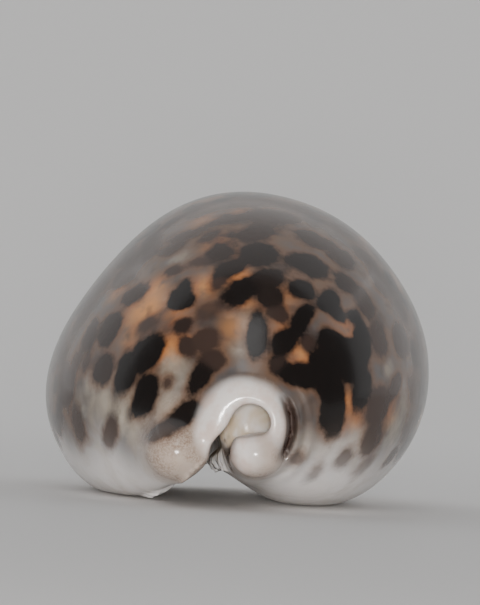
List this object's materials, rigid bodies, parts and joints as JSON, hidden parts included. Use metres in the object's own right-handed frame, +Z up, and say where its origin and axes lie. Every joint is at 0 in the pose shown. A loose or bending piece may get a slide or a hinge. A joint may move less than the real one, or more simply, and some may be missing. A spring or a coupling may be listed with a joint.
{
  "type": "tiger cowrie shell",
  "caption": "Glossy egg-shaped sea shell with dark spots, a toothed slot along its flat base and a short curled canal at each end.",
  "frame": {"origin": "on the resting plane, under the middle of the shell's bounding box", "axes": "+Y along the shell towards its back (spire) end, -Y towards its front canal, -X towards the outer lip, +Z up"},
  "size_m": [0.066, 0.095, 0.053],
  "materials": {
    "shell_enamel": "polished natural enamel, grey-cream and orange-brown with dark brown spots, white base"
  },
  "bodies": {
    "root": {"shell": "shell_enamel"}
  },
  "joints": []
}
